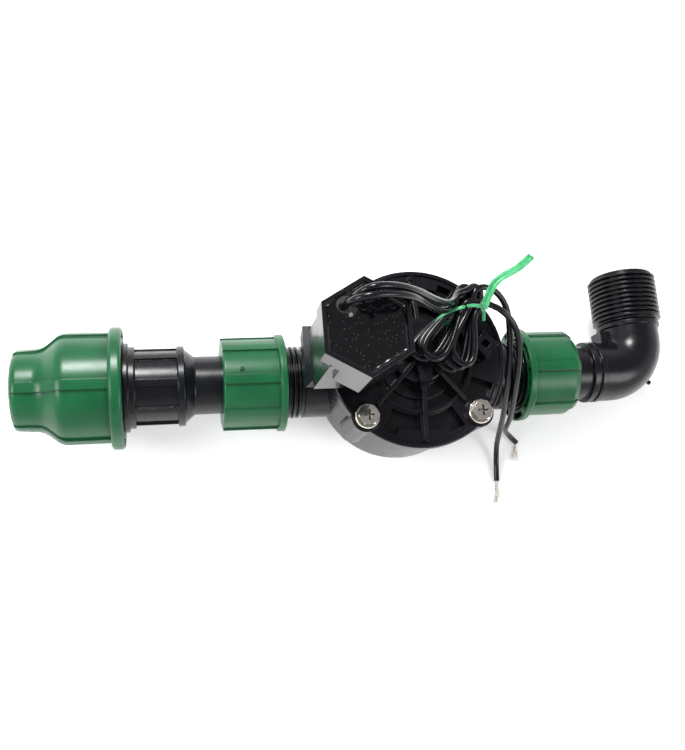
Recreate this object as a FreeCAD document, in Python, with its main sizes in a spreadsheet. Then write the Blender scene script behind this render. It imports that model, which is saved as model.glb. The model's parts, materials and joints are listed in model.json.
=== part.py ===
import FreeCAD, Part
import os
import re
from math import asin, cos, pi, radians, sin, tan

import Sketcher
from FreeCAD import Placement, Rotation, Vector

# Irrigation solenoid valve with one-inch ports, a compression outlet and a swivel elbow inlet.
# Millimetres. Origin: centre of the base pad. +X: along the ports, towards the inlet elbow.
# +Z: up, along the bonnet axis. The ports' common axis is at z = pipe_z.

SIZES = {
    "pipe_z": 28, "body_r": 36.8, "rim_r": 39.1, "part_z": 63, "rim_z": 69.2,
    "port_r": 16.5, "crest_r": 16.6, "root_r": 15.25, "pitch": 2.309, "bore_r": 12.5,
    "left_end": 70, "left_plain": 45, "right_plain": 51, "right_end": 76,
    "seat_z": 52, "seat_in": 11.5, "seat_out": 14.5, "room_r": 28.3, "bead_r": 31.5,
    "screw_at": 24.7, "screw_r": 2.4, "head_z": 70.2, "head_r": 5.3, "hex_flat": 7.8,
    "hub_top": 78, "dish_z": 66, "ring_r": 23.4,
    "coil_x": -35, "coil_y": -2, "coil_top": 127, "cap_r": 19.05, "cap_floor": 116,
    "guide_x": -34, "guide_y": -1, "guide_in": 4.3, "plunger_r": 4.25, "exit_x": -42.5, "exit_y": 6.6,
    "knob_x": 28, "knob_y": 3.4, "knob_z": 70.2, "knob_r": 6.3, "stem_r": 3.9,
    "union_in": 16.75, "union_groove": 17.6, "tail_r": 13.15, "tail_in": 10,
    "left_union_r": 20.3, "right_union_r": 20, "union_flange": 22.3,
    "coupling_r": 24, "coupling_flange": 27.2, "neck_r": 17.3, "socket_r": 12.75,
    "big_crest": 20.8, "big_root": 19.4, "big_pitch": 4.2,
    "elbow_x": 124, "elbow_r": 14.5, "bend_r": 15, "elbow_in": 11, "leg_end": 49,
    "lead_d": 2.7,
}
CORNERS = {"front_left": (-1, -1), "front_right": (1, -1), "back_left": (-1, 1), "back_right": (1, 1)}
UPRIGHT = Rotation()
# Rotations that point a primitive's height, or a turned body's length, along an axis.
HEIGHT = {"X": Rotation(Vector(0, 1, 0), 90), "Y": Rotation(Vector(1, 0, 0), -90), "Z": UPRIGHT}
LENGTH = {"X": UPRIGHT, "Y": Rotation(Vector(0, 0, 1), 90), "Z": Rotation(Vector(0, 1, 0), -90)}

doc = FreeCAD.newDocument("solenoid_valve")
sheet = doc.addObject("Spreadsheet::Sheet", "Sizes")
for row, (word, size) in enumerate(SIZES.items(), 1):
    sheet.set(f"A{row}", word)
    sheet.set(f"B{row}", str(size))
    sheet.setAlias(f"B{row}", word)
doc.recompute()

nodes = {}


def bound(text):
    """An expression with its size names pointed at the sheet."""
    return re.sub(r"[a-z]\w*", lambda m: "Sizes." + m[0] if m[0] in SIZES else m[0], str(text))


def value(text):
    return float(sheet.evalExpression(bound(text)))


def place(thing, at, rotation=UPRIGHT):
    """Puts a thing at three expressions, with a fixed rotation."""
    thing.Placement = Placement(Vector(*map(value, at)), rotation)
    for axis, text in zip("xyz", at):
        thing.setExpression(f"Placement.Base.{axis}", bound(text))
    return thing


def sized(kind, sizes):
    thing = doc.addObject("Part::" + kind, kind.lower())
    for prop, text in sizes.items():
        setattr(thing, prop, value(text))
        thing.setExpression(prop, bound(text))
    return thing


def cylinder(r, length, at, axis="Z"):
    return place(sized("Cylinder", {"Radius": r, "Height": length}), at, HEIGHT[axis])


def prism(corners, r, length, at, turn=0):
    """An upright prism on a regular polygon; its first corner points along +X, plus a turn."""
    thing = sized("Prism", {"Circumradius": r, "Height": length})
    thing.Polygon = corners
    return place(thing, at, Rotation(Vector(0, 0, 1), turn))


def ring(r, section, at, axis="Z"):
    return place(sized("Torus", {"Radius1": r, "Radius2": section}), at, HEIGHT[axis])


def sides(x, y, z):
    spans = (f"({b}) - ({a})" for a, b in (x, y, z))
    return dict(zip(("Length", "Width", "Height"), spans))


def box(x, y, z):
    """A box from three (low, high) pairs."""
    return place(sized("Box", sides(x, y, z)), (x[0], y[0], z[0]))


def rib(x, r, width, turn):
    """A box standing out from the port axis at an angle; 0 is straight up."""
    thing = sized("Box", sides(x, ("0", width), r))
    across, out = f"({width}) / 2", f"({r[0]})"
    at = (x[0], f"-{across} * cos({turn}) - {out} * sin({turn})",
          f"pipe_z - {across} * sin({turn}) + {out} * cos({turn})")
    return place(thing, at, Rotation(Vector(1, 0, 0), turn))


def spoke(turn, r, width, z, centre=("0", "0")):
    """A box standing out from an upright axis at an angle; 0 points along +X."""
    thing = sized("Box", sides(r, ("0", width), z))
    across, out = f"({width}) / 2", f"({r[0]})"
    at = (f"{centre[0]} + {out} * cos({turn}) + {across} * sin({turn})",
          f"{centre[1]} + {out} * sin({turn}) - {across} * cos({turn})", z[0])
    return place(thing, at, Rotation(Vector(0, 0, 1), turn))


def fin(turn, r, width, floor, tops):
    """A spoke whose top slopes from tops[0] at its inner end to tops[1] at its outer end."""
    half = f"{width} / 2"
    thing = sized("Wedge", {
        "Xmin": f"-{half}", "X2min": f"-{half}", "Xmax": half, "X2max": half, "Ymin": r[0], "Ymax": r[1],
        "Zmin": floor, "Z2min": floor, "Zmax": tops[0], "Z2max": tops[1]})
    return place(thing, ("0", "0", "0"), Rotation(Vector(0, 0, 1), turn - 90))


def sector(middle, spread, r, z):
    """Part of a ring about the bonnet axis."""
    outer = sized("Cylinder", {"Radius": r[1], "Height": f"({z[1]}) - ({z[0]})", "Angle": spread})
    place(outer, ("0", "0", z[0]), Rotation(Vector(0, 0, 1), middle - spread / 2))
    return cut(outer, cylinder(r[0], f"({z[1]}) - ({z[0]})", ("0", "0", z[0])))


def pocket(middle, spread, r, x):
    """Part of a ring about the port axis; 0 is straight up."""
    outer = sized("Cylinder", {"Radius": r[1], "Height": f"({x[1]}) - ({x[0]})", "Angle": spread})
    turn = Rotation(Vector(1, 0, 0), middle - spread / 2).multiply(HEIGHT["X"])
    place(outer, (x[0], "0", "pipe_z"), turn)
    return cut(outer, cylinder(r[0], f"({x[1]}) - ({x[0]})", (x[0], "0", "pipe_z"), "X"))


def fuse(*things):
    joined = doc.addObject("Part::MultiFuse", "fused")
    joined.Shapes = list(things)
    return joined


def common(first, second):
    shared = doc.addObject("Part::MultiCommon", "shared")
    shared.Shapes = [first, second]
    return shared


def cut(base, *tools):
    left = doc.addObject("Part::Cut", "left")
    left.Base, left.Tool = base, tools[0] if len(tools) == 1 else fuse(*tools)
    return left


def keep(label, thing):
    thing.Label = label
    nodes[label] = thing
    return thing


def pin_point(sketch, geometry, end, point):
    for kind, text in (("DistanceX", point[0]), ("DistanceY", point[1])):
        k = sketch.addConstraint(Sketcher.Constraint(kind, -1, 1, geometry, end, value(text)))
        sketch.setExpression(f"Constraints[{k}]", bound(text))


def round_corner(sketch, before, after, point, spot, ends):
    """An arc between two lines; their sharp corner stays where it is stated."""
    start, end = ends
    r = value(point[2])
    inward = ((start + end) / 2 - spot).normalize()
    centre = spot + inward * (r * r + (start - spot).Length ** 2) ** 0.5
    arc = sketch.addGeometry(Part.Arc(start, centre - inward * r, end))
    first, last = (1, 2) if sketch.getPoint(arc, 1).isEqual(start, 1e-6) else (2, 1)
    sketch.addConstraint(Sketcher.Constraint("Tangent", before, 2, arc, first))
    sketch.addConstraint(Sketcher.Constraint("Tangent", after, 1, arc, last))
    k = sketch.addConstraint(Sketcher.Constraint("Radius", arc, r))
    sketch.setExpression(f"Constraints[{k}]", bound(point[2]))
    sharp = sketch.addGeometry(Part.Point(spot), True)
    for line in (before, after):
        sketch.addConstraint(Sketcher.Constraint("PointOnObject", sharp, 1, line))
    pin_point(sketch, sharp, 1, point)


def outline(body, points):
    """A closed sketch from (x, y[, corner radius]) expressions."""
    plane = next(f for f in body.Origin.OriginFeatures if f.Role == "XY_Plane")
    sketch = body.newObject("Sketcher::SketchObject", "outline")
    sketch.AttachmentSupport, sketch.MapMode = [(plane, "")], "FlatFace"
    spots = [Vector(value(p[0]), value(p[1]), 0) for p in points]
    count = len(points)
    arrive, leave = list(spots), list(spots)
    for i, p in enumerate(points):
        if len(p) > 2:
            back = (spots[i - 1] - spots[i]).normalize()
            ahead = (spots[(i + 1) % count] - spots[i]).normalize()
            reach = value(p[2]) / tan(back.getAngle(ahead) / 2)
            arrive[i], leave[i] = spots[i] + back * reach, spots[i] + ahead * reach
    for i in range(count):
        sketch.addGeometry(Part.LineSegment(leave[i], arrive[(i + 1) % count]))
    for i, p in enumerate(points):
        before = (i - 1) % count
        if len(p) > 2:
            round_corner(sketch, before, i, p, spots[i], (arrive[i], leave[i]))
        else:
            sketch.addConstraint(Sketcher.Constraint("Coincident", before, 2, i, 1))
            pin_point(sketch, i, 1, p)
    return sketch


def turned(points, axis="X", centre=None):
    """A body of revolution. Points are (place along the axis, radius[, corner radius])."""
    body = doc.addObject("PartDesign::Body", "turned")
    sketch = outline(body, points)
    spin = body.newObject("PartDesign::Revolution", "spin")
    spin.Profile, spin.ReferenceAxis, spin.Angle = sketch, (sketch, ["H_Axis"]), 360
    at = centre or {"X": ("0", "0", "pipe_z"), "Z": ("0", "0", "0")}[axis]
    return place(body, at, LENGTH[axis])


def tube(x, r, axis="X", centre=None):
    return turned([(x[0], r[0]), (x[0], r[1]), (x[1], r[1]), (x[1], r[0])], axis, centre)


def teeth(start, count, pitch, crest, root):
    """Thread crests as rings, from a start towards +axis."""
    points = []
    for k in range(count):
        for part, r in ((0.1, root), (0.32, crest), (0.68, crest), (0.9, root)):
            points.append((f"{start} + {k + part} * {pitch}", r))
    return points


# ---- valve body -------------------------------------------------------------------------------

def screw_places(z):
    for name, (sx, sy) in CORNERS.items():
        yield name, (f"{sx} * screw_at", f"{sy} * screw_at", z)


def ports():
    left = [("-left_end", "0"), ("-left_end", "root_r")]
    left += teeth("-left_end + 0.6", 10, "pitch", "crest_r", "root_r")
    left += [("-left_plain", "root_r"), ("-left_plain", "port_r"), ("right_plain", "port_r")]
    right = teeth("right_plain + 1.2", 10, "pitch", "crest_r", "root_r")
    return turned(left + [("right_plain", "root_r")] + right + [("right_end", "root_r"), ("right_end", "0")])


def flow_arrow():
    stem = box(("-44", "-38.5"), ("-0.6", "0.6"), ("pipe_z + 15.5", "pipe_z + 16.9"))
    heads = []
    for side in (-1, 1):
        head = sized("Box", sides(("0", "3.2"), ("0", "1.1"), ("pipe_z + 15.5", "pipe_z + 16.9")))
        at = ("-44.4", f"-0.55 * {1 + side * 0.1}", "pipe_z + 15.5")
        heads.append(place(head, at, Rotation(Vector(0, 0, 1), side * 40)))
    return [stem, *heads]


shell = turned([("0", "0"), ("0", "28", "1.5"), ("4.5", "28", "1.2"), ("7", "24.5", "2"), ("14", "29", "5"),
                ("21", "body_r", "5"), ("part_z", "body_r"), ("part_z", "0")], "Z")
columns = [cylinder("6.4", "part_z - 40", at) for _, at in screw_places("40")]
feet = []
for _, at in screw_places("32"):
    feet.append(place(sized("Cone", {"Radius1": "1.5", "Radius2": "6.4", "Height": "8"}), at))
flank = place(sized("Wedge", {
    "Xmin": "-50 + 6", "Xmax": "-24", "Ymin": "0", "Ymax": "part_z - 48", "Zmin": "-8", "Zmax": "7",
    "X2min": "-49.5", "X2max": "-20", "Z2min": "-12", "Z2max": "10"}),
    ("0", "0", "48"), Rotation(Vector(1, 0, 0), 90))
block = fuse(shell, ports(), flank, *columns, *feet, *flow_arrow())
room = cut(cylinder("room_r", "part_z - 46", ("0", "0", "46")),
           cylinder("seat_out", "seat_z - 46", ("0", "0", "46")))
hollows = [
    room,
    tube(("part_z - 1.8", "part_z"), ("room_r - 1", "bead_r"), "Z"),
    cylinder("bore_r", "left_end + seat_in", ("-left_end", "0", "pipe_z"), "X"),
    cylinder("seat_in", "seat_z - pipe_z", ("0", "0", "pipe_z")),
    cylinder("bore_r", "right_end - 15", ("15", "0", "pipe_z"), "X"),
    box(("17", "27"), ("-8", "8"), ("pipe_z", "46")),
]
hollows += [cylinder("screw_r + 0.03", "22", at) for _, at in screw_places("part_z - 22")]
keep("valve_body", cut(block, *hollows))

# ---- bonnet -----------------------------------------------------------------------------------

cover = turned([("part_z", "0"), ("part_z", "rim_r", "0.6"), ("rim_z", "rim_r", "0.8"), ("rim_z", "37.2"),
                ("rim_z - 0.7", "36.8"), ("rim_z - 0.7", "ring_r + 0.8"), ("rim_z + 0.4", "ring_r + 0.7"),
                ("rim_z + 0.4", "ring_r - 0.7"), ("dish_z", "ring_r - 0.8"), ("dish_z", "18"),
                ("dish_z + 1.1", "17.7"), ("dish_z + 1.1", "12.2"), ("73", "11.6", "1"), ("73", "0")], "Z")
lobes = [cylinder("6.5", "rim_z - part_z", at) for _, at in screw_places("part_z")]
bosses = [cylinder("5.9", "head_z - part_z", at) for _, at in screw_places("part_z")]
FINS = [((45, 135, 225, 315), "28", "1.7", "rim_z + 0.6"), ((90, 270), "35.5", "1.9", "rim_z + 0.3"),
        ((0,), "21", "1.7", "rim_z + 3.5"), ((180,), "24", "1.7", "rim_z + 1.5")]
fins = []
for turns, end, width, outer_top in FINS:
    fins += [fin(t, ("3", end), width, "part_z + 2", ("hub_top - 1.5", outer_top)) for t in turns]
hub = [box(("-2.75", "2.75"), ("-12", "14"), ("part_z + 2", "hub_top")),
       box(("-3.2", "3.2"), ("-8", "-3"), ("part_z + 2", "hub_top - 0.8")),
       box(("-2", "2"), ("-14.5", "15.5"), ("part_z + 2", "hub_top - 2.5"))]
pips = [cylinder("1.2", "2.4", ("0", "-35", "rim_z - 1")), cylinder("1.2", "2.4", ("0", "35.4", "rim_z - 1"))]
seat_block = place(sized("Wedge", {
    "Xmin": "-49.5", "Xmax": "-20", "Ymin": "0", "Ymax": "10", "Zmin": "-12", "Zmax": "10",
    "X2min": "-50", "X2max": "-19.5", "Z2min": "-14", "Z2max": "12"}),
    ("0", "0", "part_z"), Rotation(Vector(1, 0, 0), 90))
collar = place(sized("Wedge", {
    "Xmin": "-50", "Xmax": "-19.5", "Ymin": "0", "Ymax": "5", "Zmin": "-14", "Zmax": "12",
    "X2min": "-48", "X2max": "-21", "Z2min": "-12.5", "Z2max": "10.5"}),
    ("0", "0", "part_z + 10"), Rotation(Vector(1, 0, 0), 90))
bleed_boss = cylinder("5.4", "knob_z - 0.3 - part_z", ("knob_x", "knob_y", "part_z"))
top = fuse(cover, *lobes, *bosses, *hub, *pips, seat_block, collar, bleed_boss)
windows = [sector(270 + s * 12.5, 19, ("24.9", "31.5"), ("part_z + 2", "rim_z + 3")) for s in (-1, 1)]
windows += [sector(90 + s * 12.5, 19, ("24.9", "31.5"), ("part_z + 2", "rim_z + 3")) for s in (-1, 1)]
windows += [sector(a, 11, ("24.9", "35"), ("part_z + 2", "rim_z + 3")) for a in (334, 296, 244, 116, 64)]
ribs_left = fuse(cut(top, *windows), *fins)
under = [
    cylinder("room_r", "1.2", ("0", "0", "part_z")),
    turned([("part_z", "0"), ("part_z", "21"), ("part_z + 1.6", "18", "1"), ("part_z + 1.6", "9.6"),
            ("70.6", "9.6", "1"), ("70.6", "0")], "Z"),
    cylinder("7.7", "12", ("guide_x", "guide_y", "part_z + 5")),
    cylinder("1", "6", ("guide_x", "guide_y", "part_z")),
    cylinder("stem_r + 0.07", "knob_z - part_z - 2", ("knob_x", "knob_y", "part_z + 2")),
]
under += [cylinder("screw_r + 0.3", "12", at) for _, at in screw_places("part_z - 1")]
keep("bonnet", cut(ribs_left, *under))

# ---- bonnet screws ----------------------------------------------------------------------------

def hexagon(flat, length, at):
    return prism(6, f"({flat}) / sqrt(3)", length, at)


def bonnet_screw(at):
    x, y, z = at
    head = turned([("0", "0"), ("0", "head_r", "0.3"), ("0.9", "head_r", "0.5"), ("1.5", "4.6"),
                   ("4", "4.5", "0.5"), ("4.6", "0")], "Z", at)
    blank = fuse(hexagon("hex_flat", "5", (x, y, f"{z} + 0.4")), cylinder("head_r", "1.2", at))
    shank = turned([("-24", "0"), ("-24", "screw_r - 0.5"), ("-22.8", "screw_r"), ("0.2", "screw_r"),
                    ("0.2", "0")], "Z", at)
    cross = []
    for w, d in (("4.6", "0.95"), ("0.95", "4.6")):
        cross.append(box((f"{x} - {w} / 2", f"{x} + {w} / 2"), (f"{y} - {d} / 2", f"{y} + {d} / 2"),
                         (f"{z} + 2.7", f"{z} + 5.2")))
    return fuse(cut(common(head, blank), *cross), shank)


for name, at in screw_places("head_z"):
    keep("bonnet_screw_" + name, bonnet_screw(at))

# ---- diaphragm and main spring ------------------------------------------------------------------

keep("diaphragm", turned([
    ("seat_z + 2.5", "2.1"), ("seat_z + 2.5", "17"), ("part_z - 1.6", "26.8"), ("part_z - 1.75", "29"),
    ("part_z - 1.75", "bead_r - 0.1"), ("part_z", "bead_r - 0.1"), ("part_z", "27.2"),
    ("seat_z + 4.5", "16.6"), ("seat_z + 4.5", "2.1")], "Z"))
keep("seat_washer", tube(("seat_z + 0.05", "seat_z + 2.5"), ("2.1", "15.6"), "Z"))
guide_legs = [spoke(t, ("4", "11.2"), "1.6", ("seat_z - 7", "seat_z - 1.3")) for t in (0, 90, 180, 270)]
guide_cone = turned([("seat_z - 9", "2.1"), ("seat_z - 9", "4.8"), ("seat_z - 1.3", "11", "0.5"),
                     ("seat_z + 0.05", "11"), ("seat_z + 0.05", "2.1")], "Z")
keep("seat_guide", fuse(guide_cone, *guide_legs))
keep("diaphragm_plate", turned([
    ("seat_z + 4.5", "2.1"), ("seat_z + 4.5", "16", "0.6"), ("seat_z + 6.3", "16", "0.6"),
    ("seat_z + 6.3", "9.1"), ("seat_z + 7.6", "9.1"), ("seat_z + 7.6", "8.9"), ("seat_z + 6.2", "8.9"),
    ("seat_z + 6.2", "5.4"), ("seat_z + 7.8", "5.2"), ("seat_z + 7.8", "2.1")], "Z"))
keep("diaphragm_screw", turned([
    ("seat_z - 11", "0"), ("seat_z - 11", "2"), ("seat_z + 7.8", "2"), ("seat_z + 7.8", "3.8", "0.4"),
    ("seat_z + 10", "3.8", "0.6"), ("seat_z + 10", "0")], "Z"))


def coil_spring(r, wire, bottom, length, turns, at):
    path = doc.addObject("Part::Helix", "helix")
    for prop, text in (("Radius", r), ("Pitch", f"({length}) / {turns}"), ("Height", length)):
        setattr(path, prop, value(text))
        path.setExpression(prop, bound(text))
    place(path, (at[0], at[1], bottom))
    ends = sized("Circle", {"Radius": wire})
    place(ends, (f"{at[0]} + {r}", at[1], bottom), HEIGHT["Y"])
    sweep = doc.addObject("Part::Sweep", "spring")
    sweep.Sections, sweep.Spine, sweep.Solid, sweep.Frenet = [ends], (path, ["Edge1"]), True, True
    return sweep


keep("main_spring", coil_spring("7.4", "0.55", "seat_z + 6.9", "70 - seat_z - 6.9", 4, ("0", "0")))

# ---- solenoid -----------------------------------------------------------------------------------

def cap(r, z):
    return prism(6, r, f"({z[1]}) - ({z[0]})", ("coil_x", "coil_y", z[0]), 30)


skirt = common(cap("cap_r", ("102", "cap_floor + 1")), box(("-44.5", "-10"), ("-30", "30"), ("100", "120")))
shoulder = place(sized("Wedge", {
    "Xmin": "-44", "Xmax": "-20", "Ymin": "0", "Ymax": "5", "Zmin": "-14", "Zmax": "12",
    "X2min": "-44.5", "X2max": "-18.6", "Z2min": "-19", "Z2max": "15"}),
    ("0", "0", "97"), Rotation(Vector(1, 0, 0), 90))
slope = common(shoulder, cap("cap_r", ("96", "102.5")))
stem_block = box(("-48", "-20.5"), ("-14", "11"), ("78.2", "cap_floor + 1"))
step = box(("-49.6", "-46"), ("-11", "8"), ("106", "cap_floor + 1"))
outer = fuse(cap("cap_r", ("cap_floor", "coil_top")), skirt, slope, stem_block, step)
nose = tube(("70", "78.3"), ("5.3", "7.6"), "Z", ("guide_x", "guide_y", "0"))
tray = cap("cap_r - 1.85", ("cap_floor", "coil_top + 1"))
bobbin_room = cylinder("10.6", "33", ("guide_x", "guide_y", "82"))
guide_room = cylinder("5.3", "15", ("guide_x", "guide_y", "69"))
keep("solenoid_body", cut(fuse(outer, nose), tray, bobbin_room, guide_room))
potting = cap("cap_r - 1.87", ("cap_floor + 0.02", "coil_top - 2.6"))
keep("potting", cut(potting, cylinder("3.5", "12", ("exit_x", "exit_y", "cap_floor - 1"))))
grommet = turned([("cap_floor + 0.1", "0"), ("cap_floor + 0.1", "3.45"), ("coil_top - 0.9", "3.45", "0.6"),
                  ("coil_top - 0.9", "0")], "Z", ("exit_x", "exit_y", "0"))
holes = [cylinder("1.55", "20", (x, y, "cap_floor"))
         for x, y in (("exit_x - 1.3", "exit_y - 1"), ("exit_x + 1.3", "exit_y + 1"))]
keep("lead_grommet", cut(grommet, *holes))
at_guide = ("guide_x", "guide_y", "0")
keep("coil_bobbin", turned([
    ("82.5", "5.35"), ("82.5", "10.4"), ("84", "10.4"), ("84", "6.4"), ("111", "6.4"), ("111", "10.4"),
    ("112.5", "10.4"), ("112.5", "5.35")], "Z", at_guide))
keep("coil_winding", turned([("84.05", "6.45"), ("84.05", "9.9"), ("110.95", "9.9"), ("110.95", "6.45")],
                            "Z", at_guide))
keep("guide_tube", turned([("70.2", "guide_in"), ("70.2", "5.15"), ("112", "5.15"), ("112", "guide_in")],
                          "Z", at_guide))
keep("pole_piece", turned([("102.5", "0"), ("102.5", "guide_in - 0.02"), ("112", "guide_in - 0.02"),
                           ("112", "0")], "Z", at_guide))
keep("plunger", turned([
    ("74", "0"), ("74", "plunger_r", "0.4"), ("99.8", "plunger_r", "0.4"), ("99.8", "2.4"), ("90", "2.4"),
    ("90", "0")], "Z", at_guide))
keep("plunger_seal", turned([("71.2", "0"), ("71.2", "2.6"), ("72.2", "3.2"), ("74", "3.2"), ("74", "0")],
                            "Z", at_guide))
keep("plunger_spring", coil_spring("1.75", "0.28", "90.4", "11.7", 8, ("guide_x", "guide_y")))
keep("pilot_seat", turned([("68.05", "0.9"), ("68.05", "7.5"), ("69", "7.5"), ("69.6", "2"), ("71.2", "1.5"),
                           ("71.2", "0.9")], "Z", at_guide))

# ---- bleed knob ---------------------------------------------------------------------------------

# Four blunt points with hollow flanks between them, and a square socket for a key.
at_knob = ("knob_x", "knob_y", "0")
KNOB_HEIGHT = "6.8"
points = common(prism(4, "knob_r + 0.5", KNOB_HEIGHT, ("knob_x", "knob_y", "knob_z")),
                cylinder("knob_r", KNOB_HEIGHT, ("knob_x", "knob_y", "knob_z")))
flanks = []
for turn in (45, 135, 225, 315):
    at = (f"knob_x + (9 + 3.9) * cos({turn})", f"knob_y + (9 + 3.9) * sin({turn})", "knob_z - 1")
    flanks.append(cylinder("9", "9", at))
socket = prism(4, "2.4", "4", ("knob_x", "knob_y", f"knob_z + {KNOB_HEIGHT} - 3.5"))
stem = turned([("part_z + 2.2", "0"), ("part_z + 2.2", "stem_r - 0.8"), ("part_z + 3.4", "stem_r"),
               ("knob_z", "stem_r"), ("knob_z", "0")], "Z", at_knob)
keep("bleed_knob", fuse(cut(points, *flanks, socket), stem))

# ---- union nuts, gaskets ------------------------------------------------------------------------

def mirrored(points, sign):
    return [(f"{sign} * ({p[0]})", *p[1:]) for p in points]


def nut_bore(mouth, lip, end, sign):
    """The inside of a union nut, from its mouth to its far end, as distances from the bonnet axis."""
    points = [(end, "tail_r + 0.15"), (lip, "tail_r + 0.15"), (lip, "union_groove")]
    for k in range(4, -1, -1):
        base = f"{mouth} + {1.2 + k * 2.309}"
        for shift, r in (("1.6", "union_groove"), ("1.3", "union_in"), ("0.7", "union_in"),
                         ("0.3", "union_groove")):
            points.append((f"{base} + {shift}", r))
    return mirrored(points + [(mouth, "union_groove")], sign)


left_nut = turned(mirrored([("53.5", "union_groove"), ("53.5", "union_flange", "0.5"),
                            ("56.6", "union_flange", "0.7"), ("57.1", "left_union_r"),
                            ("81.5", "left_union_r - 0.1", "0.9"), ("81.5", "tail_r + 0.15")], -1)
                  + nut_bore("53.5", "76.4", "81.5", -1)[1:-1])
left_crest = turned(mirrored([("55", "17.8"), ("55", "left_union_r + 0.9"),
                              ("81.4", "left_union_r + 0.75", "0.4"), ("81.4", "17.8")], -1))
left_ribs = fuse(*[rib(("-81.4", "-55"), ("18", "23"), "4", t) for t in range(6, 366, 45)])
gate = cylinder("0.9", "1", ("-73.5", "2.5", "pipe_z + 19.8"))
pockets = [pocket(t, 22, ("18.7", "21.5"), ("-56", "-53.5")) for t in range(0, 360, 30)]
keep("outlet_union_nut", cut(fuse(left_nut, common(left_crest, left_ribs), gate), *pockets))

right_nut = turned([("59.5", "union_groove"), ("59.5", "union_flange + 0.1", "0.5"),
                    ("62.8", "union_flange + 0.1", "0.8"), ("63.4", "right_union_r"),
                    ("83.5", "right_union_r", "0.8"), ("86.5", "right_union_r - 1.7", "0.5"),
                    ("86.5", "tail_r + 0.15")] + nut_bore("59.5", "82.4", "86.5", 1)[1:-1])
right_crest = turned([("61", "17.8"), ("61", "right_union_r + 0.9"), ("83.8", "right_union_r + 0.9", "0.5"),
                      ("86.4", "right_union_r - 0.9", "0.3"), ("86.4", "17.8")])
right_ribs = fuse(*[rib(("61", "86.4"), ("18", "22"), "4.2", t) for t in range(2, 362, 60)])
pockets = [pocket(t, 26, ("18.7", "21.5"), ("59.5", "62.4")) for t in range(17, 377, 36)]
keep("inlet_union_nut", cut(fuse(right_nut, common(right_crest, right_ribs)), *pockets))
keep("outlet_gasket", tube(("-left_end - 2", "-left_end - 0.02"), ("bore_r", "16"), "X"))
keep("inlet_gasket", tube(("right_end + 0.02", "right_end + 2"), ("bore_r", "16"), "X"))

# ---- compression outlet -------------------------------------------------------------------------

big_thread = teeth("-150 + 0.8", 6, "big_pitch", "big_crest", "big_root")
adapter = turned(
    [("-150", "17.6"), ("-150", "big_root")] + big_thread
    + [("-124.2", "big_root"), ("-124.2", "19.9"), ("-122.2", "19.9", "0.3"), ("-122", "18.3"),
       ("-119.4", "18.3", "0.4"), ("-119.2", "16"), ("-101.2", "16"),
       ("-101", "18", "0.5"), ("-98", "18", "0.5"), ("-97.6", "16.4"),
       ("-93.6", "tail_r", "1"), ("-left_end - 6", "tail_r"), ("-left_end - 6", "15.9"),
       ("-left_end - 2.02", "15.9"), ("-left_end - 2.02", "tail_in"), ("-104", "tail_in"),
       ("-104", "socket_r"), ("-132", "socket_r"), ("-132", "16.2"), ("-140", "16.2"), ("-141", "17.6")])
panel_ribs = fuse(*[rib(("-119.6", "-100.8"), ("15", "17.4"), "2.8", t) for t in range(5, 365, 45)])
panel_crest = tube(("-119.6", "-100.8"), ("15.2", "17.1"))
keep("outlet_adapter", fuse(adapter, common(panel_crest, panel_ribs)))


def coupling_skin(grow):
    """The outside of the compression nut from flange to mouth, grown by some height."""
    return [("-130", f"coupling_r + {grow}"), ("-150.3", f"coupling_r + {grow}", "7"),
            ("-158.2", f"neck_r + 0.25 + {grow}", "9"), ("-171", f"neck_r - 0.1 + {grow} * 0.6", "3.2")]


nut = turned([("-124.5", "big_crest + 0.15"), ("-124.5", "coupling_flange", "1.4"),
              ("-130", "coupling_flange", "1.6")]
             + coupling_skin("0") + [("-171", "13.4", "0.4"), ("-158", "13.4"), ("-154.5", "15.6"),
                                     ("-151", "18"), ("-151", "big_crest + 0.15")])
skin = turned([("-128", "22"), ("-128", "coupling_r + 1")] + coupling_skin("1")
              + [("-171", "15.6"), ("-158.2", "15.6"), ("-151.5", "22")])
coupling_ribs = fuse(*[rib(("-170.2", "-128"), ("15", "27"), "4.4", t) for t in range(7, 367, 72)])
pockets = [pocket(t, 24, ("22.4", "26"), ("-129", "-124.5")) for t in range(4, 364, 30)]
keep("compression_nut", cut(fuse(nut, common(skin, coupling_ribs)), *pockets))
grip = turned([("-154", "12.95"), ("-154", "15.3"), ("-151.6", "17.1"), ("-141.2", "17.3"),
               ("-141.2", "12.95")])
keep("grip_ring", cut(grip, rib(("-155", "-140"), ("10", "19"), "2", 180)))
keep("thrust_ring", tube(("-141", "-138.6"), ("12.95", "16.1")))
keep("pipe_o_ring", ring("14.6", "1.55", ("-136.8", "0", "pipe_z"), "X"))

# ---- inlet elbow --------------------------------------------------------------------------------

tail = turned([("right_end + 2.02", "0"), ("right_end + 2.02", "15.9"), ("right_end + 6", "15.9"),
               ("right_end + 6", "tail_r"), ("95.5", "tail_r"), ("95.7", "14.9", "0.3"),
               ("98.4", "14.9", "0.3"), ("98.6", "13.9"), ("99.6", "13.9"),
               ("99.8", "14.9", "0.3"), ("102", "14.9", "0.3"),
               ("102.2", "elbow_r"), ("elbow_x - bend_r", "elbow_r"), ("elbow_x - bend_r", "0")])
leg = turned([("bend_r", "0"), ("bend_r", "elbow_r"), ("20.8", "elbow_r"), ("21", "15.4", "0.4"),
              ("23.2", "15.4", "0.4"), ("23.4", "14.3"), ("24", "root_r")]
             + teeth("24.4", 10, "pitch", "crest_r", "root_r")
             + [("leg_end - 0.6", "root_r"), ("leg_end", "14.6"), ("leg_end", "0")],
             "Y", ("elbow_x", "0", "pipe_z"))


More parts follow.
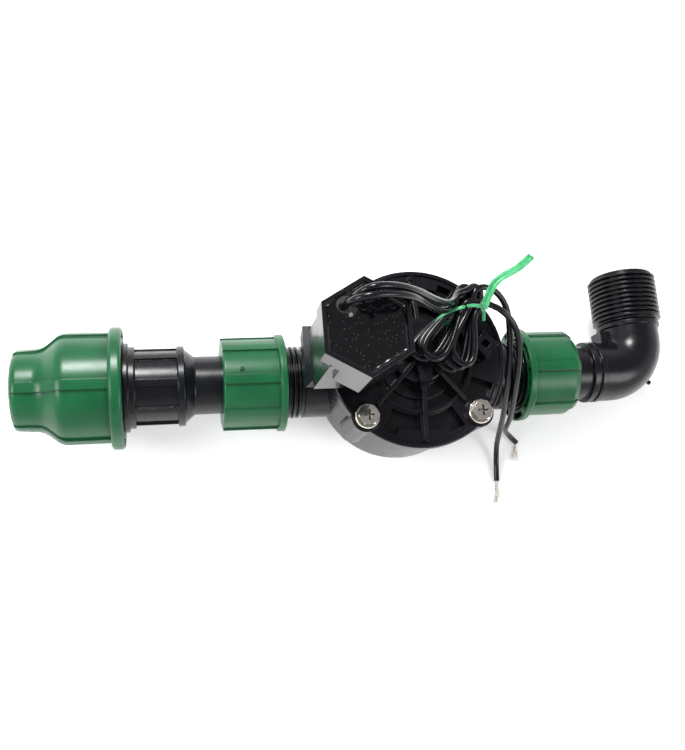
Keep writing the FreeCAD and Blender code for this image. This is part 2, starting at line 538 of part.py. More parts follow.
def bend(r):
    turn = sized("Torus", {"Radius1": "bend_r", "Radius2": r, "Angle3": "90"})
    return place(turn, ("elbow_x - bend_r", "bend_r", "pipe_z"), Rotation(Vector(0, 0, 1), -90))


lug = box(("elbow_x - 18", "elbow_x - 12.5"), ("13", "19.5"), ("pipe_z - 5", "pipe_z + 5"))
pip = place(sized("Cylinder", {"Radius": "1.1", "Height": "4"}),
            ("elbow_x + 4.2", "bend_r - 19.2", "pipe_z + 1"), Rotation(Vector(1, 1, 0), 90))
waterway = [cylinder("tail_in", "24", ("right_end + 2", "0", "pipe_z"), "X"),
            cylinder("elbow_in", "12", ("elbow_x - bend_r - 12", "0", "pipe_z"), "X"), bend("elbow_in"),
            cylinder("elbow_in", "leg_end - bend_r + 1", ("elbow_x", "bend_r", "pipe_z"), "Y")]
keep("inlet_elbow", cut(fuse(tail, bend("elbow_r"), leg, lug, pip), *waterway))

# ---- leads: two loose wires from the coil, a tied hank, and two free ends with bare strands ------

LEAD_ROUTES = {
    "lead_1_run": [(-43.8, 5.6, 117), (-43.6, 5.7, 129.5), (-37.8, 6.8, 136.6), (-28, 8, 136),
                   (-17.5, 8.6, 127.5), (-8, 9.1, 115), (0.5, 10.6, 103), (8, 13.5, 93.5), (14.5, 17.2, 87)],
    "lead_2_run": [(-41.2, 7.6, 117), (-41, 7.9, 129.8), (-35, 10.4, 137), (-25, 12, 136.2), (-14, 12.6, 128),
                   (-4.5, 13.2, 116), (4, 14.8, 104.5), (11.5, 18, 95), (18, 22, 87.2)],
    "lead_1_end": [(22.5, 25.8, 86.8), (31.5, 25.5, 85.3), (39.3, 18.5, 79), (42.1, 7.3, 71),
                   (44.3, -4, 60.5), (46.5, -13.5, 48.5), (49.5, -21, 34.5), (52.5, -26, 20), (55, -31, 7.5),
                   (56, -39.5, 1.7), (55.3, -48.5, 1.5)],
    "lead_2_end": [(28, 19.6, 83.2), (36, 16, 82.7), (43.5, 8.5, 77.5), (47.3, -1, 66.5), (49.3, -11, 54),
                   (52.3, -18, 40.5), (55.3, -22.5, 27), (57.5, -24.5, 14), (62.5, -25.5, 4.8),
                   (68, -29.5, 1.5)],
}
STRANDS = {
    "lead_1_strands": ((55.3, -48.6, 1.5), (-1.0, -13.5, -0.2)),
    "lead_2_strands": ((68.5, -30.6, 1.1), (-3, -9, -0.2)),
}
HANK = {"centre": (13, 9, 81.8), "turn": 58, "big": 8.5, "small": 4.6, "back": 8, "ahead": 11, "section": 3.6}
REACH = 0.45  # how far along the shorter run each arc starts


def lead_path(points):
    """Straight runs joined by the largest tangent arcs that the runs allow."""
    spots = [Vector(*p) for p in points]
    edges, radii, start = [], [], spots[0]
    for a, b, c in zip(spots, spots[1:], spots[2:]):
        back, ahead = (a - b), (c - b)
        reach = REACH * min(back.Length, ahead.Length)
        back.normalize()
        ahead.normalize()
        radius = reach / tan((pi - back.getAngle(ahead)) / 2)
        enter, leave = b + back * reach, b + ahead * reach
        inward = (back + ahead).normalize()
        centre = b + inward * (radius * radius + reach * reach) ** 0.5
        edges.append(Part.LineSegment(start, enter).toShape())
        edges.append(Part.Arc(enter, centre - inward * radius, leave).toShape())
        radii.append(radius)
        start = leave
    edges.append(Part.LineSegment(start, spots[-1]).toShape())
    return Part.Wire(edges), radii


def swept(label, path, start, direction, radius):
    section = Part.Wire(Part.makeCircle(radius, start, direction))
    thing = doc.addObject("Part::Feature", label)
    thing.Shape = path.makePipeShell([section], True, True)
    thing.Placement = Placement()
    return keep(label, thing)


def lead(label, points):
    path, radii = lead_path(points)
    start = Vector(*points[0])
    thing = swept(label, path, start, Vector(*points[1]) - start, value("lead_d / 2"))
    expected = path.Length * value("lead_d") ** 2 * pi / 4
    print(label, "length", round(path.Length, 1), "radii", [round(r, 1) for r in radii],
          "volume", round(thing.Shape.Volume / expected, 4))


for label, points in LEAD_ROUTES.items():
    lead(label, points)


def hank_path():
    """A closed loop, wide at one end and drawn in at the tied end."""
    span = HANK["back"] + HANK["ahead"]
    lean = asin((HANK["big"] - HANK["small"]) / span)
    turn = radians(HANK["turn"])

    def at(along, across):
        x = HANK["centre"][0] + along * cos(turn) - across * sin(turn)
        y = HANK["centre"][1] + along * sin(turn) + across * cos(turn)
        return Vector(x, y, HANK["centre"][2])

    def touch(centre, r, side):
        return at(centre + r * sin(lean), side * r * cos(lean))

    b, s = -HANK["back"], HANK["ahead"]
    big, small = HANK["big"], HANK["small"]
    edges = [
        Part.LineSegment(touch(b, big, -1), touch(s, small, -1)).toShape(),
        Part.Arc(touch(s, small, -1), at(s + small, 0), touch(s, small, 1)).toShape(),
        Part.LineSegment(touch(s, small, 1), touch(b, big, 1)).toShape(),
        Part.Arc(touch(b, big, 1), at(b - big, 0), touch(b, big, -1)).toShape(),
    ]
    return Part.Wire(edges), edges[0].valueAt(0), edges[0].tangentAt(0), at


loop, loop_start, loop_direction, hank_at = hank_path()
swept("lead_hank", loop, loop_start, loop_direction, HANK["section"])

for label, (start, reach) in STRANDS.items():
    strand = doc.addObject("Part::Feature", label)
    strand.Shape = Part.makeCylinder(0.8, Vector(*reach).Length, Vector(*start), Vector(*reach))
    keep(label, strand)


def twist_tie():
    """A flat band round both sides of the hank, with a twisted tail standing off it."""
    turn = Rotation(Vector(0, 0, 1), HANK["turn"])
    spot = hank_at(4.5, 0)

    def block(long, wide, high):
        thing = doc.addObject("Part::Box", "band")
        thing.Length, thing.Width, thing.Height = long, wide, high
        thing.Placement = Placement(spot - turn.multVec(Vector(long / 2, wide / 2, high / 2)), turn)
        return thing

    band = cut(block(3, 21.6, 8.9), block(4, 20.2, 7.5))
    knot = spot + Vector(0, 0, 4.3) + turn.multVec(Vector(0, -6, 0))
    tail = [knot, knot + Vector(3, 2.5, 5), knot + Vector(10, 8.5, 8.5), knot + Vector(22, 17, 8)]
    path, _ = lead_path([tuple(p) for p in tail])
    strip = doc.addObject("Part::Feature", "tail")
    section = Part.Wire(Part.makeCircle(0.9, tail[0], tail[1] - tail[0]))
    strip.Shape = path.makePipeShell([section], True, True)
    return fuse(band, strip)


keep("twist_tie", twist_tie())

# ---- check everything, then write one file for each piece ----------------------------------------

doc.recompute()
failed = [thing.Name for thing in doc.Objects if {"Invalid", "Error"} & set(thing.State)]
if failed:
    raise RuntimeError(f"failed: {failed}")
for label, thing in nodes.items():
    if thing.Shape.isNull() or not thing.Shape.isValid():
        raise RuntimeError(f"{label} has no valid shape")
os.makedirs("parts", exist_ok=True)
for label, thing in nodes.items():
    thing.Shape.exportStep(f"parts/{label}.step")
print(len(nodes), "pieces")
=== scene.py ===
import json
import math
import random

import bmesh
import bpy
from mathutils import Matrix, Vector


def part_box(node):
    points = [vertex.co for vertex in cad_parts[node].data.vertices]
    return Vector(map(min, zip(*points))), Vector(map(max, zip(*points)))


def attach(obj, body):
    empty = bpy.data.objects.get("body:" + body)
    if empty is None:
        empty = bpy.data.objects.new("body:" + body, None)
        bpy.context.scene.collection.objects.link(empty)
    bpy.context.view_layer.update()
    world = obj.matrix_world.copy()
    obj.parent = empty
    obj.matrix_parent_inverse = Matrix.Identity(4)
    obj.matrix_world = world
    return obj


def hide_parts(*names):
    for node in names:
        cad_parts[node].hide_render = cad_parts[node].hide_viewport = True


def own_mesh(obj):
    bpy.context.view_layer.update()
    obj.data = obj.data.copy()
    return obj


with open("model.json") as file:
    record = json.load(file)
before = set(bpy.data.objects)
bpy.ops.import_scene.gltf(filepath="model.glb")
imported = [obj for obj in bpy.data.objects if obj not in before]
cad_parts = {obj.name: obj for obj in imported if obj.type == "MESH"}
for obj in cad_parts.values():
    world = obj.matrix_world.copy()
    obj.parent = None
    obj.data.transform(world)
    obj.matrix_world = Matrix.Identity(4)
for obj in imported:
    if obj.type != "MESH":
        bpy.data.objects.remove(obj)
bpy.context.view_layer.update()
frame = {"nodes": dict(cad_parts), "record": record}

MM = 0.001
random.seed(7)

# Where things are, in metres, in the row frame.
CAMERA_AT = Vector((-108, -86, 422)) * MM
CAMERA_AIM = Vector((-27.5, 0, 40)) * MM
CAMERA_RIGHT = Vector((0.979, -0.076, 0.189))
FOCAL = 0.0463  # on a 36 mm wide sensor
LEAD = 2.7 * MM

# Each lead, in millimetres, runs from the coil to the hank, is folded into loops there, and leaves
# by its free end.
# "entry" holds the layer at which it comes into the hank and how far it reaches past the tie there;
# "loops" holds each loop's side of the hank, layer, lean in degrees and reach.
LEADS = {
    "lead_1": {
        "run": [(-43.8, 5.6, 117), (-43.6, 5.7, 129.5), (-38, 6.5, 136.2), (-28, 7.4, 135.6), (-18, 8, 130.5),
                (-7.5, 8.8, 114.5), (1.5, 10.6, 102), (8, 14.6, 91.5), (12.3, 20.9, 84.8)],
        "end": [(22.5, 25.8, 86.8), (31.5, 25.5, 85.3), (39.3, 18.5, 79), (42.1, 7.3, 71), (44.3, -4, 60.5),
                (46.5, -13.5, 48.5), (49.5, -21, 34.5), (52.5, -26, 20), (55, -31, 7.5), (56, -39.5, 1.7),
                (55.3, -48.5, 1.5)],
        "entry": (1.7, 9.5),
        "loops": [(1, 0, 5, 24.5), (-1, 0, -11, 26.5), (1, 2, 15, 21)],
    },
    "lead_2": {
        "run": [(-41.2, 7.6, 117), (-41, 7.9, 129.6), (-35.3, 10, 136.4), (-25.5, 10.8, 134.6),
                (-15, 11.2, 126.5), (-4.5, 12, 113), (4.3, 13.8, 101.8), (10.2, 17.6, 92.8), (13.6, 22.6, 88.2)],
        "end": [(28, 19.6, 83.2), (36, 16, 82.7), (43.5, 8.5, 77.5), (47.3, -1, 66.5), (49.3, -11, 54),
                (52.3, -18, 40.5), (55.3, -22.5, 27), (57.5, -24.5, 14), (62.5, -25.5, 4.8),
                (68, -29.5, 1.5)],
        "entry": (2.9, 11.5),
        "loops": [(1, 1, 10, 23), (-1, 1, -7, 24.5), (-1, 2, -3, 26)],
    },
}
TIE = Vector((17.4, 16, 79.6))
HANK_TURN = math.radians(58)
ALONG = Vector((math.cos(HANK_TURN), math.sin(HANK_TURN), 0))
RIGHT = Vector((math.sin(HANK_TURN), -math.cos(HANK_TURN), 0))

# The hank's loops, in millimetres.
LAYER = LEAD / MM
PAIR_AWAY = 2.8      # from the hank's middle to the middle of a loop's two legs, at the tie
LEG_AWAY = 1.4       # from there to each leg
LOOP_HALF = 5.2      # half the width of a long loop
BIGHT_HALF = 3.9     # half the width of a short bend past the tie
LOOSENESS = 0.15     # how far a loop's height wanders

# The bare wires at each lead's free end.
STRANDS = 11
STRAND_WIRE = 0.24 * MM


def hank_spot(along, across, up):
    """A point of the hank, in millimetres from the middle of the tie at the lowest layer."""
    return TIE + ALONG * along + RIGHT * across + Vector((0, 0, up))


# ---- materials ---------------------------------------------------------------------------------

def material(name, base, roughness, metallic=0.0):
    m = bpy.data.materials.new(name)
    m.use_nodes = True
    shader = m.node_tree.nodes["Principled BSDF"]
    shader.inputs["Base Color"].default_value = (*base, 1)
    shader.inputs["Roughness"].default_value = roughness
    shader.inputs["Metallic"].default_value = metallic
    return m, m.node_tree, shader


def noise(tree, scale, detail=3.0, roughness=0.5):
    place = tree.nodes.new("ShaderNodeTexCoord")
    texture = tree.nodes.new("ShaderNodeTexNoise")
    texture.inputs["Scale"].default_value = scale
    texture.inputs["Detail"].default_value = detail
    texture.inputs["Roughness"].default_value = roughness
    tree.links.new(place.outputs["Object"], texture.inputs["Vector"])
    return texture.outputs["Fac"]


def ramp(tree, factor, stops):
    node = tree.nodes.new("ShaderNodeValToRGB")
    while len(node.color_ramp.elements) < len(stops):
        node.color_ramp.elements.new(0.5)
    for element, (at, colour) in zip(node.color_ramp.elements, stops):
        element.position, element.color = at, (*colour, 1)
    tree.links.new(factor, node.inputs["Fac"])
    return node.outputs["Color"]


def rough_range(tree, shader, factor, low, high):
    node = tree.nodes.new("ShaderNodeMapRange")
    node.inputs["To Min"].default_value, node.inputs["To Max"].default_value = low, high
    tree.links.new(factor, node.inputs["Value"])
    tree.links.new(node.outputs["Result"], shader.inputs["Roughness"])


def relief(tree, shader, factor, distance, strength=1.0, soft_edge=0.0):
    bump = tree.nodes.new("ShaderNodeBump")
    bump.inputs["Distance"].default_value = distance
    bump.inputs["Strength"].default_value = strength
    tree.links.new(factor, bump.inputs["Height"])
    if soft_edge:
        edge = tree.nodes.new("ShaderNodeBevel")
        edge.inputs["Radius"].default_value = soft_edge
        edge.samples = 6
        tree.links.new(edge.outputs["Normal"], bump.inputs["Normal"])
    tree.links.new(bump.outputs["Normal"], shader.inputs["Normal"])


def paint_shade_in_hollows(tree, shader, colour, dark, distance):
    """Paints shade into the base colour: mixes a darker tone into places that little light reaches, as an
    ambient occlusion node finds them.
    """
    hollow = tree.nodes.new("ShaderNodeAmbientOcclusion")
    hollow.inputs["Distance"].default_value = distance
    hollow.samples = 8
    blend = tree.nodes.new("ShaderNodeMix")
    blend.data_type = "RGBA"
    blend.inputs["A"].default_value = (*dark, 1)
    tree.links.new(hollow.outputs["AO"], blend.inputs["Factor"])
    tree.links.new(colour, blend.inputs["B"])
    tree.links.new(blend.outputs["Result"], shader.inputs["Base Color"])


def moulded(name, dark, light, rough, edge=0.4 * MM, skin=0.35, shine=0.5):
    """Moulded plastic: slight colour drift, painted shade in its hollows, orange-peel skin and softened edges.
    """
    m, tree, shader = material(name, light, rough[0])
    shader.inputs["Specular IOR Level"].default_value = shine
    drift = ramp(tree, noise(tree, 60, 4), [(0.3, dark), (0.7, light)])
    # painted shade: the hollows get a darker tone of the plastic's own dark colour
    paint_shade_in_hollows(tree, shader, drift, tuple(c * 0.45 for c in dark), 4 * MM)
    rough_range(tree, shader, noise(tree, 260, 5), *rough)
    relief(tree, shader, noise(tree, 1400, 2), 0.03 * MM, skin, edge)
    return m


def green_plastic():
    return moulded("green_plastic", (0.004, 0.074, 0.026), (0.008, 0.105, 0.036), (0.24, 0.36),
                   edge=0.5 * MM, shine=0.34)


def black_nylon():
    return moulded("black_nylon", (0.0018, 0.002, 0.0038), (0.0042, 0.0046, 0.0072), (0.2, 0.32),
                   edge=0.45 * MM, shine=0.34)


def coil_plastic():
    return moulded("coil_plastic", (0.002, 0.002, 0.003), (0.004, 0.004, 0.006), (0.13, 0.22),
                   edge=0.35 * MM, skin=0.15)


def dots(tree, scale, size, colour, base):
    """Small dots of one colour, strewn at random over another."""
    place = tree.nodes.new("ShaderNodeTexCoord")
    cells = tree.nodes.new("ShaderNodeTexVoronoi")
    cells.inputs["Scale"].default_value = scale
    tree.links.new(place.outputs["Object"], cells.inputs["Vector"])
    return ramp(tree, cells.outputs["Distance"], [(0, colour), (size * 0.6, colour), (size, base)])


def potting_resin():
    """Cast resin with small pale specks under a wavy gloss."""
    resin_black, speck = (0.002, 0.002, 0.003), (0.16, 0.15, 0.14)
    m, tree, shader = material("potting_resin", resin_black, 0.08)
    tree.links.new(dots(tree, 850, 0.13, speck, resin_black), shader.inputs["Base Color"])
    rough_range(tree, shader, noise(tree, 90, 3), 0.05, 0.16)
    relief(tree, shader, noise(tree, 120, 2), 0.3 * MM, 0.25)
    return m


def stainless_steel():
    """Bright, slightly yellow plate, with painted shade darkening its recesses."""
    m, tree, shader = material("stainless_steel", (0.80, 0.77, 0.68), 0.2, 1.0)
    plate = ramp(tree, noise(tree, 350, 3), [(0.35, (0.74, 0.70, 0.60)), (0.65, (0.90, 0.87, 0.80))])
    # painted shade: recesses are mixed towards near black
    paint_shade_in_hollows(tree, shader, plate, (0.03, 0.025, 0.02), 1.6 * MM)
    rough_range(tree, shader, noise(tree, 500, 3), 0.12, 0.24)
    relief(tree, shader, noise(tree, 900, 2), 0.02 * MM, 0.3, 0.12 * MM)
    return m


def spring_steel():
    m, tree, shader = material("spring_steel", (0.6, 0.6, 0.6), 0.3, 1.0)
    rough_range(tree, shader, noise(tree, 600, 3), 0.22, 0.4)
    return m


def rubber_black():
    m, tree, shader = material("rubber_black", (0.02, 0.02, 0.02), 0.7)
    relief(tree, shader, noise(tree, 900, 4), 0.04 * MM, 0.5)
    return m


def acetal_white():
    m, tree, shader = material("acetal_white", (0.8, 0.8, 0.77), 0.35)
    rough_range(tree, shader, noise(tree, 300, 3), 0.3, 0.45)
    return m


def copper_winding():
    m, tree, shader = material("copper_winding", (0.72, 0.3, 0.14), 0.3, 1.0)
    wave = tree.nodes.new("ShaderNodeTexWave")
    wave.bands_direction = "Z"
    wave.inputs["Scale"].default_value = 700
    place = tree.nodes.new("ShaderNodeTexCoord")
    tree.links.new(place.outputs["Object"], wave.inputs["Vector"])
    relief(tree, shader, wave.outputs["Fac"], 0.2 * MM)
    return m


def lead_sleeve():
    """Glossy black insulation with faint drawing marks."""
    m, tree, shader = material("lead_sleeve", (0.004, 0.004, 0.006), 0.25)
    shader.inputs["Specular IOR Level"].default_value = 0.34
    rough_range(tree, shader, noise(tree, 500, 4), 0.15, 0.26)
    relief(tree, shader, noise(tree, 1200, 2), 0.03 * MM, 0.4)
    return m


def tinned_wire():
    m, tree, shader = material("tinned_wire", (0.72, 0.68, 0.58), 0.28, 1.0)
    tree.links.new(ramp(tree, noise(tree, 900, 2), [(0.35, (0.55, 0.50, 0.40)), (0.65, (0.80, 0.78, 0.72))]),
                   shader.inputs["Base Color"])
    return m


def tie_plastic():
    m, tree, shader = material("tie_plastic", (0.07, 0.41, 0.17), 0.35)
    tree.links.new(ramp(tree, noise(tree, 400, 3), [(0.3, (0.035, 0.32, 0.11)), (0.7, (0.10, 0.48, 0.22))]),
                   shader.inputs["Base Color"])
    shader.inputs["Subsurface Weight"].default_value = 0.15
    shader.inputs["Subsurface Radius"].default_value = (0.002, 0.004, 0.002)
    return m


MAKERS = [green_plastic, black_nylon, coil_plastic, potting_resin, stainless_steel, spring_steel,
          rubber_black, acetal_white, copper_winding, lead_sleeve, tinned_wire, tie_plastic]
MATERIALS = {make.__name__: make() for make in MAKERS}


def dress_frame():
    """Gives every CAD node its slot's material."""
    for part in frame["record"]["subparts"]:
        piece = frame["nodes"][part["node"]]
        piece.data.materials.clear()
        piece.data.materials.append(MATERIALS[part["material_slot"]])


# ---- camera, floor and light -----------------------------------------------------------------

def camera():
    data = bpy.data.cameras.new("camera")
    data.lens, data.sensor_width, data.sensor_fit = FOCAL / MM, 36, "HORIZONTAL"
    data.clip_start, data.clip_end = 0.01, 20
    cam = bpy.data.objects.new("camera", data)
    bpy.context.collection.objects.link(cam)
    ahead = (CAMERA_AIM - CAMERA_AT).normalized()
    right = (CAMERA_RIGHT - ahead * CAMERA_RIGHT.dot(ahead)).normalized()
    up = right.cross(ahead)
    cam.matrix_world = Matrix.Translation(CAMERA_AT) @ Matrix((right, up, -ahead)).transposed().to_4x4()
    bpy.context.scene.camera = cam


def floor():
    bpy.ops.mesh.primitive_plane_add(size=8, location=(0, 0, 0))
    plane = bpy.context.object
    plane.name = "floor"
    m, tree, shader = material("floor_paper", (0.93, 0.93, 0.93), 0.9)
    shader.inputs["Emission Color"].default_value = (1, 1, 1, 1)
    shader.inputs["Emission Strength"].default_value = 0.3
    relief(tree, shader, noise(tree, 300, 3), 0.05 * MM, 0.2)
    plane.data.materials.append(m)


def lamp(name, at, size, power, aim=(0, 0, 0.03), colour=(1, 1, 1)):
    data = bpy.data.lights.new(name, "AREA")
    data.energy, data.size, data.color = power, size, colour
    light = bpy.data.objects.new(name, data)
    light.location = at
    light.rotation_euler = (Vector(aim) - Vector(at)).to_track_quat("-Z", "Y").to_euler()
    bpy.context.collection.objects.link(light)


def studio():
    """A white surround that is dimmer overhead, a key light behind, and weaker ones beside and in front."""
    world = bpy.data.worlds.new("studio")
    world.use_nodes = True
    tree = world.node_tree
    place = tree.nodes.new("ShaderNodeTexCoord")
    split = tree.nodes.new("ShaderNodeSeparateXYZ")
    tree.links.new(place.outputs["Generated"], split.inputs["Vector"])
    sky = ramp(tree, split.outputs["Z"], [(0.0, (1, 1, 1)), (0.35, (1, 1, 1)), (0.75, (0.3, 0.3, 0.31))])
    tree.links.new(sky, tree.nodes["Background"].inputs["Color"])
    tree.nodes["Background"].inputs["Strength"].default_value = 0.95
    bpy.context.scene.world = world
    bpy.context.scene.view_settings.view_transform = "Standard"
    lamp("key", (-0.25, 0.72, 1.0), 0.32, 17)
    lamp("side", (-0.9, -0.1, 0.75), 0.4, 6)
    lamp("fill", (0.7, -0.6, 0.8), 0.5, 5)


# ---- leads -----------------------------------------------------------------------------------

def tube(name, points, diameter, mat, resolution=6):
    """A smooth cord whose control points are given in millimetres."""
    data = bpy.data.curves.new(name, "CURVE")
    data.dimensions, data.bevel_depth, data.bevel_resolution = "3D", diameter / 2, resolution
    data.use_fill_caps = True
    spline = data.splines.new("NURBS")
    spline.points.add(len(points) - 1)
    for point, p in zip(spline.points, points):
        point.co = (*(Vector(p) * MM), 1)
    spline.order_u = 3
    spline.use_endpoint_u = True
    spline.resolution_u = 10
    piece = bpy.data.objects.new(name, data)
    bpy.context.collection.objects.link(piece)
    data.materials.append(MATERIALS[mat])
    return piece


def far_loop(side, layer, lean, reach):
    """One long loop from the tie and back, leaning to its own side."""
    swing = math.tan(math.radians(lean))
    rows = [(0, 1), (0.28, 1), (0.55, 1), (0.82, 1), (1, 0.55)]
    rows += [(away, -edge) for away, edge in reversed(rows)]
    widest = 0.82
    points = []
    for away, edge in rows:
        opened = math.sin(min(away, widest) / widest * math.pi / 2) ** 1.2
        width = LEG_AWAY + (LOOP_HALF - LEG_AWAY) * opened
        across = side * PAIR_AWAY + away * reach * swing + side * edge * width
        wander = random.uniform(-LOOSENESS, LOOSENESS) - 0.5 * away * (side > 0)
        points.append(hank_spot(-away * reach, across, layer * LAYER + wander))
    return points


def near_bight(start, stop, layers, length):
    """The short bend past the tie, from one leg's place across the hank to the next one's."""
    way = 1 if stop > start else -1
    middle, half = (start + stop) / 2, max(BIGHT_HALF, abs(stop - start) / 2)
    rows = [(0.6, -1), (1, -0.55), (1, 0.55), (0.6, 1)]
    points = []
    for i, (away, edge) in enumerate(rows):
        layer = layers[0] + (layers[1] - layers[0]) * i / (len(rows) - 1)
        points.append(hank_spot(away * length, middle + way * half * edge, (layer + 0.35 * away) * LAYER))
    return points


def hank(entry, loops):
    """Long loops to either side of the hank, joined by short bends past the tie."""
    inner, outer = PAIR_AWAY - LEG_AWAY, PAIR_AWAY + LEG_AWAY
    layer, length = entry
    points = near_bight(-3.2, outer, (layer, loops[0][1]), length)
    for i, (side, layer, lean, reach) in enumerate(loops):
        points += far_loop(side, layer, lean, reach)
        if i + 1 < len(loops):
            next_side, next_layer = loops[i + 1][:2]
            points += near_bight(side * inner, next_side * outer, (layer, next_layer), 8.6 + 1.2 * i)
    return points + [hank_spot(4.5, side * 1.2, (layer + 0.4) * LAYER)]


def leads():
    for name, lead in LEADS.items():
        points = lead["run"] + hank(lead["entry"], lead["loops"]) + lead["end"]
        cord = tube(name, points, LEAD, "lead_sleeve")
        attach(cord, "valve")
        strands = bare_strands(name, lead["end"][-1], lead["end"][-2])
        replaced = [f"{name}_run", f"{name}_end"] + (["lead_hank"] if name == "lead_1" else [])
        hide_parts(*replaced)


def bare_strands(name, tip, before):
    """Fine tinned wires, loosely twisted where the sleeve stops and frayed at their tips."""
    tip, heading = Vector(tip), (Vector(tip) - Vector(before)).normalized()
    node = f"{name}_strands"
    low, high = (Vector(corner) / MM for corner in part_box(node))
    ends = [Vector((x, y, 1.0)) for x in (low.x + 0.8, high.x - 0.8)
            for y in (low.y + 0.6, high.y - 0.6)]
    far = max(ends, key=lambda spot: (spot - tip).length)
    out = (far - tip).normalized()
    side = out.cross(Vector((0, 0, 1)))
    made = []
    for i in range(STRANDS):
        phase, fray = i * math.tau / STRANDS, random.uniform(-1, 1)
        reach = (far - tip).length * random.uniform(0.72, 0.98)
        start = side * 0.6 * math.cos(phase) + Vector((0, 0, 0.6 * math.sin(phase)))
        points = [tip - heading * 1.5 + start]
        for k in range(1, 6):
            away = k / 5
            turn = phase + away * 3.4
            loose = 0.55 + 0.9 * away ** 2
            across = side * (loose * math.cos(turn) + fray * 1.5 * away ** 2)
            height = 0.25 + (1.0 - 0.45 * away) * (1 + 0.6 * math.sin(turn))
            spot = tip + out * reach * away + across
            points.append(Vector((spot.x, spot.y, min(height, 1.9))))
        strand = tube(f"{node}_{i}", points, STRAND_WIRE, "tinned_wire", 2)
        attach(strand, "valve")
        made.append(strand)
    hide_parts(node)
    return made


# ---- mesh helpers ------------------------------------------------------------------------------

def finished(name, bm, mat):
    """Makes a smooth piece of the valve from mesh code."""
    bmesh.ops.recalc_face_normals(bm, faces=bm.faces)
    mesh = bpy.data.meshes.new(name)
    bm.to_mesh(mesh)
    bm.free()
    for face in mesh.polygons:
        face.use_smooth = True
    piece = bpy.data.objects.new(name, mesh)
    bpy.context.collection.objects.link(piece)
    piece.data.materials.append(MATERIALS[mat])
    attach(piece, "valve")
    return piece


def skin(name, rings, mat, closed=False):
    """A smooth mesh over rings of points in millimetres, capped at its ends or closed on itself."""
    bm = bmesh.new()
    rows = [[bm.verts.new(point * MM) for point in ring] for ring in rings]
    after = rows[1:] + rows[:1] if closed else rows[1:]
    for one, two in zip(rows, after):
        for j in range(len(one)):
            k = (j + 1) % len(one)
            bm.faces.new((one[j], one[k], two[k], two[j]))
    if not closed:
        bm.faces.new(list(reversed(rows[0])))
        bm.faces.new(rows[-1])
    return finished(name, bm, mat)


def strip(name, points, ups, width, thick, mat):
    """A flat plastic strip with a raised wire down its middle, along points with given flat sides."""
    profile = [(-0.5, -0.5), (-0.18, -0.5), (0, -1.0), (0.18, -0.5), (0.5, -0.5),
               (0.5, 0.5), (0.18, 0.5), (0, 1.0), (-0.18, 0.5), (-0.5, 0.5)]
    rings = []
    for i, point in enumerate(points):
        ahead = (points[min(i + 1, len(points) - 1)] - points[max(i - 1, 0)]).normalized()
        side = ahead.cross(ups[i]).normalized()
        up = side.cross(ahead)
        rings.append([point + side * a * width + up * b * thick for a, b in profile])
    piece = skin(name, rings, mat)
    smooth = piece.modifiers.new("round", "SUBSURF")
    smooth.levels = smooth.render_levels = 1
    return piece


def smooth_line(points, steps):
    """Points along a smooth curve through the given ones."""
    out = []
    padded = [points[0], *points, points[-1]]
    for a, b, c, d in zip(padded, padded[1:], padded[2:], padded[3:]):
        for i in range(steps):
            t = i / steps
            out.append(0.5 * ((2 * b) + (c - a) * t + (2 * a - 5 * b + 4 * c - d) * t * t
                              + (3 * b - a - 3 * c + d) * t ** 3))
    return out + [points[-1]]


# ---- twist tie ---------------------------------------------------------------------------------

def twist_tie():
    """A loose band round the hank, a knot at its upper right, and a flat two-strip tail."""
    points, ups = [], []
    steps = 32
    for i in range(steps + 1):
        turn = math.tau * i / steps
        across = -0.9 + 7.8 * math.sin(turn)
        bow = 3.4 * max(math.cos(turn), 0)
        points.append(hank_spot(-2.6 + 0.9 * across + bow, across, 3.5 + 6.0 * math.cos(turn)))
        ups.append(Vector((0, 0, math.cos(turn))) + RIGHT * math.sin(turn))
    band = strip("tie_band", points, ups, 1.5, 0.3, "tie_plastic")
    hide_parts("twist_tie")
    knot = hank_spot(3.8, 6.3, 8.2)
    tail = smooth_line([knot, Vector((27.5, 22.5, 90)), Vector((31, 27, 92)),
                        Vector((39.5, 31.5, 92.5)), Vector((47.5, 37.5, 91.5))], 8)
    for k, offset in enumerate((-0.8, 0.8)):
        line, ups = [], []
        for i, point in enumerate(tail):
            turn = 0.5 * math.sin(i * 0.21 + k)
            line.append(point + Vector((0.6, -0.8, 0.1)) * offset + Vector((0, 0, 0.5 * k)))
            ups.append(Vector((0.35 * math.sin(turn) - 0.25, -0.2 - 0.5 * math.sin(turn), math.cos(turn))))
        strip(f"tie_tail_{k}", line, ups, 1.8, 0.3, "tie_plastic")
    for k, tip in enumerate(((3.2, 5.4, 3.2), (1.2, -4.2, -4.6), (-1.2, 1.6, 2.4))):
        stub = smooth_line([knot - Vector(tip) * 0.2, knot + Vector(tip) * 0.5, knot + Vector(tip)], 5)
        strip(f"tie_knot_{k}", stub, [Vector((-0.3, -0.3, 1))] * len(stub), 1.5, 0.3, "tie_plastic")


# ---- resin ---------------------------------------------------------------------------------------

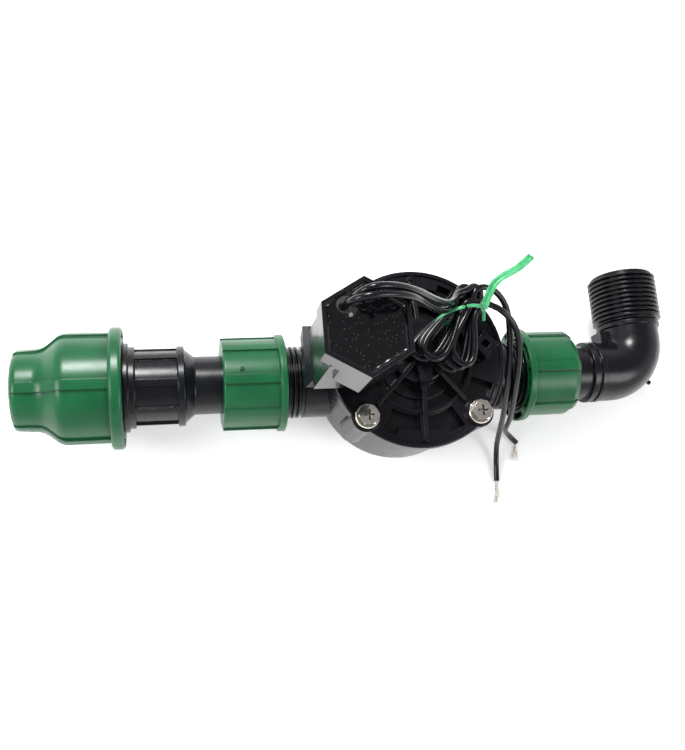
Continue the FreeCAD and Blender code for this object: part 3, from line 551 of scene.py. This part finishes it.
def resin():
    """The cast surface in the coil's tray: it creeps up the walls and around the leads' exit."""
    low, high = (Vector(corner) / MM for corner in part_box("potting"))
    exit_low, exit_high = (Vector(corner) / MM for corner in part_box("lead_grommet"))
    centre, exit_at = (low + high) / 2, (exit_low + exit_high) / 2
    flat, sector, gap = (high.x - low.x) / 2, math.radians(60), 0.02
    exit_radius, sunk, most = 3.5, 0.15, 1.5
    rings, around = 44, 96
    bm = bmesh.new()

    def vertex(share, angle):
        edge = flat / math.cos((angle + sector / 2) % sector - sector / 2) - gap
        x = centre.x + share * edge * math.cos(angle)
        y = centre.y + share * edge * math.sin(angle)
        wall = (1 - share) * flat
        lead = max(math.hypot(x - exit_at.x, y - exit_at.y) - exit_radius, 0)
        creep = 0.9 * math.exp(-wall / 0.55) + 1.5 * math.exp(-lead / 1.5)
        wave = 0.06 * math.sin(x * 1.1) * math.cos(y * 0.9)
        return bm.verts.new(Vector((x, y, high.z + min(creep + wave - sunk, most))) * MM)

    middle = vertex(0, 0)
    rows = []
    for i in range(1, rings + 1):
        share = math.sin(i / rings * math.pi / 2)
        rows.append([vertex(share, math.tau * j / around) for j in range(around)])
    base = [bm.verts.new(Vector((v.co.x, v.co.y, low.z * MM))) for v in rows[-1]]
    for j in range(around):
        k = (j + 1) % around
        bm.faces.new((middle, rows[0][j], rows[0][k]))
        for one, two in zip(rows, rows[1:] + [base]):
            bm.faces.new((one[j], two[j], two[k], one[k]))
    bm.faces.new(list(reversed(base)))
    piece = finished("resin", bm, "potting_resin")
    piece.data.polygons[-1].use_smooth = False
    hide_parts("potting")


# ---- springs and diaphragm -----------------------------------------------------------------------

def shorten(piece, node):
    """Stands for a node, which it hides, and gives the piece a mesh of its own if a joint in the record lists
    the node as deforming; the record has that joint press the node together towards a fixed end.
    """
    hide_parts(node)
    for joint in frame["record"]["behaviour"]["joints"]:
        for item in joint.get("deforming_nodes", []):
            if item["node"] == node:
                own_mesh(piece)


def spring(node, wire, turns):
    """A round wire spring, with its wire's radius in millimetres, whose end turns lie closer."""
    low, high = (Vector(corner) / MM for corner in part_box(node))
    centre, radius, steps = (low + high) / 2, (high.x - low.x) / 2 - wire, 36 * turns
    section = [math.tau * k / 10 for k in range(10)]
    rings = []
    for i in range(steps + 1):
        share = i / steps
        turn = math.tau * turns * share
        rise = share - 0.08 * math.sin(math.tau * share)
        middle = Vector((centre.x, centre.y, low.z + wire + (high.z - low.z - 2 * wire) * rise))
        out = Vector((math.cos(turn), math.sin(turn), 0))
        rings.append([middle + out * (radius + wire * math.cos(a)) + Vector((0, 0, wire * math.sin(a)))
                      for a in section])
    shorten(skin(f"{node}_coils", rings, "spring_steel"), node)


def diaphragm():
    """A moulded rubber disc: a flat middle, a sloping wall and a thicker rim."""
    low, high = (Vector(corner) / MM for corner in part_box("diaphragm"))
    rim, bottom, top = (high.x - low.x) / 2, low.z, high.z
    profile = [(2.1, bottom), (15.5, bottom), (17, bottom + 0.25), (18, bottom + 0.9), (25.6, top - 2.2),
               (26.8, top - 1.75), (rim, top - 1.75), (rim, top), (27.4, top), (26.2, top - 0.5),
               (17.4, bottom + 2.6), (16.4, bottom + 2), (2.1, bottom + 2)]
    rings = []
    for i in range(96):
        turn = math.tau * i / 96
        rings.append([Vector((r * math.cos(turn), r * math.sin(turn), z)) for r, z in profile])
    shorten(skin("diaphragm_disc", rings, "rubber_black", closed=True), "diaphragm")


dress_frame()
camera()
floor()
studio()
leads()
twist_tie()
resin()
spring("main_spring", 0.55, 4)
spring("plunger_spring", 0.28, 8)
diaphragm()
